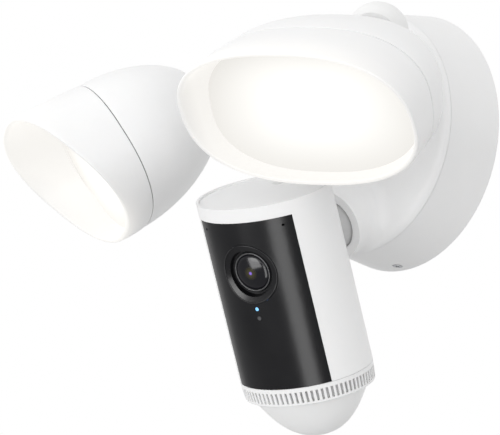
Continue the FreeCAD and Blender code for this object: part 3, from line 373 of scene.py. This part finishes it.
def lens_glass():
    """Black front element with a painted olive reflection round a small, glowing, painted violet reflection."""
    shader = Shader("lens_glass")
    reach = shader.stored("from_centre")
    # Painted reflections: an olive tint in the glass's colour and a glowing violet spot at its middle, in place of
    # the coating's reflections.
    painted_olive_reflection = shader.between(reach, 1, 0, OLIVE_REFLECTION_SHARE * FULL_TINT_SHARE, OLIVE_REFLECTION_SHARE)
    tone = shader.blend(painted_olive_reflection, (0.003, 0.003, 0.004), (0.020, 0.018, 0.008))
    # the violet spot's glow is a painted reflection
    spot = shader.between(reach, 0.9, 0, VIOLET_REFLECTION_SHARE * FULL_TINT_SHARE, VIOLET_REFLECTION_SHARE)
    gloss = shader.between(shader.noise(2 * MM, detail=4), 0.10, 0.16)
    return shader.set(Base_Color=tone, Roughness=gloss, Specular_IOR_Level=0.22,
                      Emission_Color=(0.30, 0.16, 0.95), Emission_Strength=spot).material


def warm_diffuser():
    """Frosted opal sheet, lit from behind: brightest over the middle, milky at its edge."""
    shader = Shader("warm_diffuser")
    share = shader.between(shader.stored("toward_edge"), 0, 1, 0.30, 1.0)
    glow = shader.blend(share, (1.0, 0.99, 0.965), WARM_WHITE)
    seen = shader.between(share, SHEET_GLOW_MIDDLE, SHEET_GLOW_EDGE)
    direct = shader.tree.nodes.new("ShaderNodeLightPath").outputs["Is Camera Ray"]
    power = shader.node("Mix", A=SHEET_LIGHT, B=seen, Factor=direct).outputs["Result"]
    relief = shader.bump(shader.noise(0.35 * MM, detail=3), 0.02 * MM)
    gloss = shader.between(shader.noise(5 * MM, detail=3), 0.38, 0.50)
    return shader.set(Base_Color=(0.12, 0.12, 0.115), Roughness=gloss, Normal=relief,
                      Emission_Color=glow, Emission_Strength=power).material


def white_reflector():
    return moulded("white_reflector", (0.88, 0.88, 0.87), 0.16).material


def plated(name, colour, roughness):
    """Bright zinc: cloudy spangle, fine drawing lines and duller worn patches."""
    shader = Shader(name)
    spangle = shader.noise(2.5 * MM, detail=5)
    stretch = shader.node("Mapping", Vector=shader.where)
    stretch.inputs["Scale"].default_value = (400, 6000, 6000)
    lines = shader.node("TexNoise", Vector=stretch.outputs["Vector"], Scale=1.0, Detail=3.0)
    tone = shader.blend(spangle, shade(colour, 0.80), shade(colour, 1.10))
    gloss = shader.between(spangle, roughness - 0.08, roughness + 0.15)
    relief = shader.bump(lines.outputs["Fac"], 0.004 * MM, shader.soft_edges(0.15 * MM))
    return shader.set(Base_Color=tone, Metallic=1.0, Roughness=gloss, Normal=relief).material


def zinc_steel():
    return plated("zinc_steel", (0.62, 0.63, 0.65), 0.30)


def bracket_steel():
    return plated("bracket_steel", (0.55, 0.56, 0.58), 0.42)


def cast_aluminium():
    """Die-cast skin: pebbled and dull."""
    shader = Shader("cast_aluminium")
    pebbles = shader.cells(0.7 * MM)
    tone = shader.blend(shader.noise(5 * MM, detail=4), (0.42, 0.43, 0.44), (0.60, 0.61, 0.62))
    relief = shader.bump(pebbles, 0.05 * MM, shader.soft_edges(0.3 * MM))
    return shader.set(Base_Color=tone, Metallic=0.9, Roughness=0.55, Normal=relief).material


def circuit_board(name, resist, copper):
    """Solder resist with tracks showing through and tinned pads."""
    shader = Shader(name)
    tracks = shader.node("TexBrick", Vector=shader.where, Scale=180.0)
    tracks.inputs["Mortar Size"].default_value = 0.035
    drawn = shader.between(tracks.outputs["Fac"], 0, 0.7)
    pads = shader.between(shader.cells(3.0 * MM), 1, 0, 0.10, 0.14)
    tone = shader.blend(drawn, resist, copper)
    tone = shader.blend(pads, tone, (0.62, 0.62, 0.60))
    relief = shader.bump(tracks.outputs["Fac"], 0.03 * MM)
    return shader.set(Base_Color=tone, Metallic=shader.between(pads, 0, 0.8), Roughness=0.38,
                      Normal=relief, Coat_Weight=0.3).material


def green_board():
    return circuit_board("green_board", (0.012, 0.10, 0.035), (0.03, 0.19, 0.07))


def white_board():
    return circuit_board("white_board", (0.80, 0.80, 0.77), (0.70, 0.70, 0.66))


def insulation(name, colour):
    """Extruded wire insulation: glossy, with faint drawing ripples."""
    shader = Shader(name)
    ripple = shader.noise(1.2 * MM, detail=2)
    tone = shader.blend(ripple, shade(colour, 0.88), shade(colour, 1.08))
    relief = shader.bump(ripple, 0.03 * MM)
    return shader.set(Base_Color=tone, Roughness=shader.between(ripple, 0.28, 0.42),
                      Normal=relief).material


def black_wire():
    return insulation("black_wire", (0.015, 0.015, 0.016))


def white_wire():
    return insulation("white_wire", (0.78, 0.78, 0.76))


def green_wire():
    return insulation("green_wire", (0.02, 0.22, 0.05))


def coil_tape():
    """Yellow polyester tape lapped round the winding."""
    shader = Shader("coil_tape")
    laps = shader.node("TexWave", Vector=shader.where, Scale=250.0, Distortion=0.4)
    tone = shader.blend(laps.outputs["Fac"], (0.50, 0.36, 0.03), (0.62, 0.47, 0.06))
    relief = shader.bump(laps.outputs["Fac"], 0.04 * MM)
    return shader.set(Base_Color=tone, Roughness=0.30, Normal=relief).material


def status_blue():
    """Lit light pipe: a pale core that falls off to deep blue at grazing angles."""
    shader = Shader("status_blue")
    core = shader.node("LayerWeight", Blend=0.55).outputs["Facing"]
    tone = shader.blend(core, (0.32, 0.72, 1.0), (0.01, 0.10, 0.55))
    glow = shader.between(shader.noise(0.6 * MM), 1.1, 1.5)
    return shader.set(Base_Color=(0.02, 0.10, 0.30), Roughness=0.15, Emission_Color=tone,
                      Emission_Strength=glow).material


def sensor_grey():
    shader = Shader("sensor_grey")
    haze = shader.noise(0.8 * MM, detail=3)
    tone = shader.blend(haze, (0.050, 0.050, 0.054), (0.085, 0.085, 0.090))
    return shader.set(Base_Color=tone, Roughness=shader.between(haze, 0.12, 0.25),
                      Coat_Weight=0.5).material


def mesh_grey():
    """Woven acoustic mesh."""
    shader = Shader("mesh_grey")
    warp = shader.node("TexWave", Vector=shader.where, Scale=900.0)
    weft = shader.node("TexWave", Vector=shader.where, Scale=900.0)
    weft.bands_direction = "Z"
    weave = shader.node("Math", Value=warp.outputs["Fac"])
    weave.operation = "MULTIPLY"
    shader.feed(weave.inputs[1], weft.outputs["Fac"])
    tone = shader.blend(weave.outputs["Value"], (0.82, 0.82, 0.82), (0.90, 0.90, 0.90))
    relief = shader.bump(weave.outputs["Value"], 0.08 * MM)
    return shader.set(Base_Color=tone, Roughness=0.8, Normal=relief).material


def floor_paint():
    shader = Shader("floor_paint")
    tone = shader.blend(shader.noise(0.4, detail=3), (0.58, 0.58, 0.58), (0.62, 0.62, 0.62))
    return shader.set(Base_Color=tone, Roughness=0.7).material


FINISHES = (white_plastic, lamp_white, white_socket, grey_seat, ball_plastic, black_rubber,
            grey_foam, black_gloss, black_plastic, lens_glass, warm_diffuser, white_reflector,
            zinc_steel, bracket_steel, cast_aluminium, white_board, green_board, black_wire,
            white_wire, green_wire, terminal_plastic, coil_tape, status_blue, sensor_grey,
            dome_white, button_white, mesh_grey)
materials = {finish.__name__: finish() for finish in FINISHES}


def dress_cad_nodes():
    """Give every CAD node the material of its slot."""
    for part in frame["record"]["subparts"]:
        node = frame["nodes"][part["node"]]
        node.data.materials.clear()
        node.data.materials.append(materials[part["material_slot"]])


# ---------------------------------------------------------------- mesh building

def add_piece(name, node, finish, place, points, faces):
    """New piece from points in a head's frame, shown in place of a CAD node."""
    mesh = bpy.data.meshes.new(name)
    mesh.from_pydata([place @ Vector(point) for point in points], [], faces)
    work = bmesh.new()
    work.from_mesh(mesh)
    bmesh.ops.remove_doubles(work, verts=work.verts, dist=WELD_DISTANCE)
    bmesh.ops.recalc_face_normals(work, faces=work.faces)
    work.to_mesh(mesh)
    work.free()
    mesh.shade_smooth()
    mesh.set_sharp_from_angle(angle=SHARP_ANGLE)
    mesh.materials.append(materials[finish])
    piece = bpy.data.objects.new(name, mesh)
    bpy.context.scene.collection.objects.link(piece)
    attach(piece, body_of(node))
    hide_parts(node)
    return piece


def body_of(node):
    groups = frame["record"]["behaviour"]["bodies"]
    return next(body for body, nodes in groups.items() if node in nodes)


def store_values(piece, name, place, value_at):
    """Store a number per vertex, worked out from the vertex's place in the head's frame."""
    values = piece.data.attributes.new(name, "FLOAT", "POINT")
    inverse = place.inverted()
    for entry, vertex in zip(values.data, piece.data.vertices):
        entry.value = value_at(inverse @ vertex.co)


def ring_faces(ring_count, steps, closed):
    """Quads between neighbouring rings; closed also joins the last ring to the first."""
    faces = []
    for ring in range(ring_count if closed else ring_count - 1):
        following = (ring + 1) % ring_count
        for step in range(steps):
            beside = (step + 1) % steps
            faces.append((ring * steps + step, ring * steps + beside,
                          following * steps + beside, following * steps + step))
    return faces


def add_rings(name, node, finish, place, rings, closed=False):
    """Piece skinned over rings of points; open skins are capped at both ends."""
    steps = len(rings[0])
    faces = ring_faces(len(rings), steps, closed)
    if not closed:
        faces.append(tuple(range(steps)))
        faces.append(tuple(range((len(rings) - 1) * steps, len(rings) * steps)))
    points = [point for ring in rings for point in ring]
    return add_piece(name, node, finish, place, points, faces)


def arc(start_degrees, end_degrees, steps):
    """Cosine and sine at even steps along an arc, both ends included."""
    angles = [math.radians(start_degrees + (end_degrees - start_degrees) * step / steps)
              for step in range(steps + 1)]
    return [(math.cos(angle), math.sin(angle)) for angle in angles]


def spread(start, end, steps):
    """Even steps from start to end, both included."""
    return [start + (end - start) * step / steps for step in range(steps + 1)]


# ---------------------------------------------------------------- lamp heads

def oval(half_width, half_height, y, lean=0.0, rise=0.0):
    """Superellipse facing -Y, its top tipped forward by lean."""
    ring = []
    for step in range(OVAL_STEPS):
        angle = 2 * math.pi * step / OVAL_STEPS
        across = math.cos(angle)
        up = math.sin(angle)
        across = math.copysign(abs(across) ** (2 / OVAL_POWER), across) * half_width
        up = math.copysign(abs(up) ** (2 / OVAL_POWER), up) * half_height
        ring.append((across, y - up * math.sin(lean), rise + up * math.cos(lean)))
    return ring


def oval_reach(across, up):
    """0 at the middle of a unit superellipse and 1 on its edge."""
    return (abs(across) ** OVAL_POWER + abs(up) ** OVAL_POWER) ** (1 / OVAL_POWER)


def circle(radius, y, rise=0.0):
    return [(radius * math.cos(2 * math.pi * step / OVAL_STEPS), y,
             rise + radius * math.sin(2 * math.pi * step / OVAL_STEPS))
            for step in range(OVAL_STEPS)]


class LampSizes:
    """Sizes of one lamp's shell, measured on its CAD nodes."""

    def __init__(self, lamp):
        self.place = lamp_frame(lamp)
        housing = LocalBox(lamp + "_housing", self.place)
        bezel = LocalBox(lamp + "_bezel", self.place)
        diffuser = LocalBox(lamp + "_diffuser", self.place)
        self.seam = (housing.high.x, housing.high.z)
        self.depth = housing.high.y
        self.rim = (bezel.high.x, (bezel.high.z - RIM_RISE) / math.cos(RIM_LEAN))
        self.forward = -bezel.low.y - self.rim[1] * math.sin(RIM_LEAN)
        self.diffuser = (diffuser.high.x, diffuser.high.z)
        self.diffuser_front = diffuser.low.y
        self.diffuser_back = diffuser.high.y
        self.stem_rise = LocalBox(lamp + "_stem_nut", self.place).middle.z

    def bezel_half(self, share):
        """Half width and height of the bezel: share 0 at the seam and 1 at the rim."""
        return [seam + (rim - seam) * share for seam, rim in zip(self.seam, self.rim)]

    def bezel_ring(self, share, inset):
        half_width, half_height = self.bezel_half(share)
        return oval(half_width - inset, half_height - inset, -self.forward * share,
                    RIM_LEAN * share, RIM_RISE * share)

    def painted_lamp_glow(self, point):
        """Share of the painted lamp glow at a point of the bezel: none on the outside."""
        share = -point.y / (self.forward + point.z * math.sin(RIM_LEAN))
        share = min(max(share, 0), 1)
        half_width, half_height = self.bezel_half(share)
        up = point.z - RIM_RISE * share
        depth_in_wall = (1 - oval_reach(point.x / half_width, up / half_height)) * half_height
        return min(max(depth_in_wall / RIM_THICK, 0), 1)

    def inset_ring(self, inset, y):
        return oval(self.seam[0] - inset, self.seam[1] - inset, y)


def add_bezel(lamp, sizes):
    """Hood of the lamp: outer wall, rounded rim, mouth and the recess that holds the diffuser."""
    rings = [sizes.inset_ring(SEAM_EDGE_ROUND * (1 - sine),
                              -SEAM_GAP - SEAM_EDGE_ROUND * (1 - cosine))
             for cosine, sine in arc(0, 90, ROUND_STEPS)]
    start = (SEAM_GAP + SEAM_EDGE_ROUND) / sizes.forward
    lip = RIM_THICK / 2
    top = 1 - lip / sizes.forward
    rings += [sizes.bezel_ring(share, 0) for share in spread(start, top, WALL_STEPS)[1:]]
    rings += [sizes.bezel_ring(top + lip * sine / sizes.forward, lip * (1 - cosine))
              for cosine, sine in arc(0, 180, 3 * ROUND_STEPS)[1:]]
    ledge_y = sizes.diffuser_front - DIFFUSER_CLEARANCE
    ledge = -ledge_y / sizes.forward
    for share in spread(top, ledge, WALL_STEPS)[1:]:
        thickening = ((top - share) / (top - ledge)) ** MOUTH_CURVE
        rings.append(sizes.bezel_ring(share, RIM_THICK + (MOUTH_THICK - RIM_THICK) * thickening))
    rings.append(sizes.inset_ring(WALL, ledge_y))
    rings.append(sizes.inset_ring(WALL, -SEAM_GAP))
    rings.append(sizes.inset_ring(SEAM_EDGE_ROUND, -SEAM_GAP))
    piece = add_rings(lamp + "_bezel_shell", lamp + "_bezel", "lamp_white", sizes.place, rings,
                      closed=True)
    # share of the painted lamp glow over the bezel
    store_values(piece, "painted_lamp_glow", sizes.place, sizes.painted_lamp_glow)


def add_housing(lamp, sizes):
    """Rear shell, closing in towards a flat back that carries the ball stem."""
    def section(depth, inset):
        shrink = math.sqrt(1 - (depth / HOUSING_CURVE) ** 2)
        return oval(sizes.seam[0] * shrink - inset, sizes.seam[1] * shrink - inset, depth)

    rings = [sizes.inset_ring(SEAM_EDGE_ROUND * (1 - cosine),
                              SEAM_GAP + SEAM_EDGE_ROUND * (1 - sine))
             for cosine, sine in arc(90, 0, ROUND_STEPS)]
    turn_in = sizes.depth - HOUSING_EDGE_ROUND
    rings += [section(depth, 0)
              for depth in spread(SEAM_GAP + SEAM_EDGE_ROUND, turn_in, HOUSING_STEPS)[1:]]
    rings += [section(turn_in + HOUSING_EDGE_ROUND * sine, HOUSING_EDGE_INSET * (1 - cosine))
              for cosine, sine in arc(0, 90, 2 * ROUND_STEPS)[1:]]
    back = section(sizes.depth, HOUSING_EDGE_INSET)
    stem_hole = circle(STEM_HOLE_R, sizes.depth, sizes.stem_rise)
    for share in spread(0, 1, BACK_STEPS)[1:]:
        rings.append([Vector(outer).lerp(Vector(inner), share)
                      for outer, inner in zip(back, stem_hole)])
    floor_y = sizes.depth - HOUSING_FLOOR
    rings.append(circle(STEM_HOLE_R, floor_y, sizes.stem_rise))
    rings += [section(depth, WALL) for depth in spread(floor_y, SEAM_GAP, LINING_STEPS)]
    add_rings(lamp + "_housing_shell", lamp + "_housing", "white_plastic", sizes.place, rings,
              closed=True)


def add_diffuser(lamp, sizes):
    """Opal sheet with a rounded front edge."""
    half_width, half_height = sizes.diffuser
    front = sizes.diffuser_front
    edge = DIFFUSER_EDGE_ROUND
    shares = spread(1.0, SHEET_MIDDLE, SHEET_RINGS)
    rings = [oval(half_width * share, half_height * share, sizes.diffuser_back)
             for share in reversed(shares)]
    rings += [oval(half_width - edge * (1 - cosine), half_height - edge * (1 - cosine),
                   front + edge * (1 - sine)) for cosine, sine in arc(0, 90, ROUND_STEPS)]
    rings += [oval((half_width - edge) * share, (half_height - edge) * share, front)
              for share in shares[1:]]
    piece = add_rings(lamp + "_diffuser_sheet", lamp + "_diffuser", "warm_diffuser",
                      sizes.place, rings)
    store_values(piece, "toward_edge", sizes.place,
                 lambda point: oval_reach(point.x / half_width, point.z / half_height))


def build_lamps():
    for lamp in LAMPS:
        sizes = LampSizes(lamp)
        add_bezel(lamp, sizes)
        add_housing(lamp, sizes)
        add_diffuser(lamp, sizes)


# ---------------------------------------------------------------- camera lens

class LensSizes:
    """Sizes of the lens and the curved face round it, measured on the CAD nodes."""

    def __init__(self):
        self.place = camera_frame()
        ring = LocalBox("lens_bezel", self.place)
        barrel = LocalBox("lens_barrel", self.place)
        self.front = LocalBox("camera_face_plate", self.place).low.y
        self.half_width = LocalBox("camera_housing", self.place).high.x
        self.ring = ring.high.x
        self.ring_back = ring.high.y
        self.barrel = barrel.high.x
        self.barrel_front = barrel.low.y
        self.barrel_back = barrel.high.y
        self.glass = self.barrel - BARREL_RIM

    def face_y(self, x):
        """Height of the curved face across its width."""
        return self.front * math.sqrt(1 - (x / self.half_width) ** 2)

    def face_circle(self, radius, lift):
        """Circle laid on the curved face, lifted out of it."""
        return [(x, self.face_y(x) - lift, z) for x, _, z in circle(radius, 0)]


def add_lens_ring(lens):
    """Bezel: rounded lip on the curved face, a smooth slope and a well for the barrel."""
    middle = lens.ring - LENS_LIP_WIDTH / 2
    rings = [lens.face_circle(middle + LENS_LIP_WIDTH / 2 * cosine, LENS_LIP * sine)
             for cosine, sine in arc(0, 180, LIP_STEPS)]
    mouth = lens.ring - LENS_LIP_WIDTH
    rings += [lens.face_circle(mouth - CHAMFER_WIDTH * share, -CHAMFER_DEPTH * share)
              for share in spread(0, 1, SLOPE_STEPS)[1:]]
    well = mouth - CHAMFER_WIDTH
    hole = lens.barrel + BARREL_GAP
    floor_y = lens.front + FUNNEL_DEPTH
    rings.append(circle(well - BARREL_GAP, floor_y))
    rings.append(circle(hole, floor_y))
    rings.append(circle(hole, lens.ring_back))
    rings.append(circle(lens.ring, lens.ring_back))
    return add_rings("lens_ring", "lens_bezel", "black_gloss", lens.place, rings,
                     closed=True)


def add_barrel(lens):
    """Barrel: a tube with a rounded front edge."""
    front = lens.barrel_front
    edge = BARREL_EDGE_ROUND
    rings = [circle(lens.barrel, lens.barrel_back)]
    rings += [circle(lens.barrel - edge * (1 - cosine), front + edge * (1 - sine))
              for cosine, sine in arc(0, 90, ROUND_STEPS)]
    rings += [circle(lens.glass + edge * (1 - sine), front + edge * (1 - cosine))
              for cosine, sine in arc(0, 90, ROUND_STEPS)]
    rings.append(circle(lens.glass, lens.barrel_back))
    return add_rings("lens_barrel_tube", "lens_barrel", "black_plastic", lens.place, rings,
                     closed=True)


def add_front_element(lens):
    """Domed glass."""
    rim_y = lens.barrel_front + GLASS_SINK
    rings = [circle(lens.glass, rim_y + GLASS_RISE)]
    rings += [circle(lens.glass * cosine, rim_y - GLASS_RISE * sine)
              for cosine, sine in arc(0, GLASS_CLOSING, GLASS_STEPS)]
    piece = add_rings("lens_front_element", "lens_glass", "lens_glass", lens.place, rings)
    store_values(piece, "from_centre", lens.place,
                 lambda point: math.hypot(point.x, point.z) / lens.glass)
    return piece


def build_lens():
    lens = LensSizes()
    return [add_lens_ring(lens), add_barrel(lens), add_front_element(lens)]


# ---------------------------------------------------------------- stage

def view_direction():
    """From the target towards the camera."""
    level = math.cos(VIEW_ELEVATION)
    return Vector((math.sin(VIEW_AZIMUTH) * level, -math.cos(VIEW_AZIMUTH) * level,
                   math.sin(VIEW_ELEVATION)))


def mirrored(head, normal):
    """Where a light must stand to be seen in a spot of a head's surface with that normal."""
    normal = (head_turn(head) @ Vector(normal)).normalized()
    view = view_direction()
    return 2 * normal.dot(view) * normal - view


def add_camera():
    data = bpy.data.cameras.new("view")
    data.lens = VIEW_LENS_MM
    data.sensor_width = VIEW_SENSOR_MM
    data.clip_end = VIEW_REACH
    camera = bpy.data.objects.new("view", data)
    bpy.context.scene.collection.objects.link(camera)
    camera.location = VIEW_TARGET + view_direction() * VIEW_DISTANCE
    camera.rotation_mode = "QUATERNION"
    camera.rotation_quaternion = (-view_direction()).to_track_quat("-Z", "Y")
    bpy.context.scene.camera = camera


def add_area_light(name, direction, distance, size, power):
    """Soft box that shines at the object from a direction."""
    data = bpy.data.lights.new(name, "AREA")
    data.shape = "RECTANGLE"
    data.size, data.size_y = size
    data.energy = power
    light = bpy.data.objects.new(name, data)
    bpy.context.scene.collection.objects.link(light)
    aim = Vector(direction).normalized()
    light.location = LIGHT_TARGET + aim * distance
    light.rotation_mode = "QUATERNION"
    light.rotation_quaternion = (-aim).to_track_quat("-Z", "Y")
    light.visible_camera = False
    return light


def add_world():
    """Soft dome of light; the camera itself sees white above and pale grey below."""
    world = bpy.data.worlds.new("studio")
    bpy.context.scene.world = world
    world.use_nodes = True
    tree = world.node_tree
    background = tree.nodes["Background"]
    background.inputs["Color"].default_value = (1, 1, 1, 1)
    direction = tree.nodes.new("ShaderNodeSeparateXYZ")
    tree.links.new(tree.nodes.new("ShaderNodeTexCoord").outputs["Generated"],
                   direction.inputs["Vector"])
    height = direction.outputs["Z"]
    dome = ramp(tree, height, DOME_LIGHT_BELOW, DOME_LIGHT_ABOVE, -1, 1)
    backdrop = ramp(tree, height, BACKDROP_GREY, 1.0, *BACKDROP_HEIGHTS)
    choice = tree.nodes.new("ShaderNodeMix")
    tree.links.new(tree.nodes.new("ShaderNodeLightPath").outputs["Is Camera Ray"],
                   choice.inputs["Factor"])
    tree.links.new(dome, choice.inputs["A"])
    tree.links.new(backdrop, choice.inputs["B"])
    tree.links.new(choice.outputs["Result"], background.inputs["Strength"])


def add_floor():
    mesh = bpy.data.meshes.new("floor")
    corners = [(x * FLOOR_HALF, y * FLOOR_HALF, FLOOR_Z)
               for x, y in ((-1, -1), (1, -1), (1, 1), (-1, 1))]
    mesh.from_pydata(corners, [], [(0, 1, 2, 3)])
    mesh.materials.append(floor_paint())
    floor = bpy.data.objects.new("floor", mesh)
    bpy.context.scene.collection.objects.link(floor)
    return floor


def receivers(name, things, state):
    """Receivers for a light: only the things given, or everything except them."""
    group = bpy.data.collections.new(name)
    for thing in things:
        group.objects.link(thing)
    for entry in group.collection_objects:
        entry.light_linking.link_state = state
    return group


def set_stage(lens_pieces):
    """Backdrop, camera, floor and soft boxes, each kept off the surfaces it would spoil."""
    bpy.context.scene.view_settings.view_transform = "Standard"
    add_world()
    add_camera()
    not_floor = receivers("not_floor", [add_floor()], "EXCLUDE")
    glossy = [frame["nodes"]["camera_face_plate"], *lens_pieces]
    face_only = receivers("face_only", glossy, "INCLUDE")
    cover_only = receivers("cover_only", [frame["nodes"]["front_cover"]], "INCLUDE")
    band = mirrored("camera", (math.sin(BAND_ANGLE), -math.cos(BAND_ANGLE), 0))
    glint = mirrored("camera", GLINT_NORMAL)
    lights = (
        ("key", (-0.80, -0.45, 0.35), 1.6, (1.3, 1.0), KEY_WATTS, not_floor),
        ("front", (0.10, -0.95, -0.20), 1.6, (1.2, 0.5), FRONT_WATTS, not_floor),
        ("fill", view_direction(), 1.8, (0.9, 0.4), FILL_WATTS, not_floor),
        ("cover", view_direction(), 1.8, (0.9, 0.4), COVER_WATTS, cover_only),
        ("band", band, 0.75, (0.26, 0.5), BAND_WATTS, face_only),
        ("glint", glint, 0.75, (0.4, 0.4), GLINT_WATTS, face_only),
    )
    for name, direction, distance, size, watts, lit in lights:
        light = add_area_light(name, direction, distance, size, watts)
        light.light_linking.receiver_collection = lit


# ---------------------------------------------------------------- build

dress_cad_nodes()
build_lamps()
set_stage(build_lens())
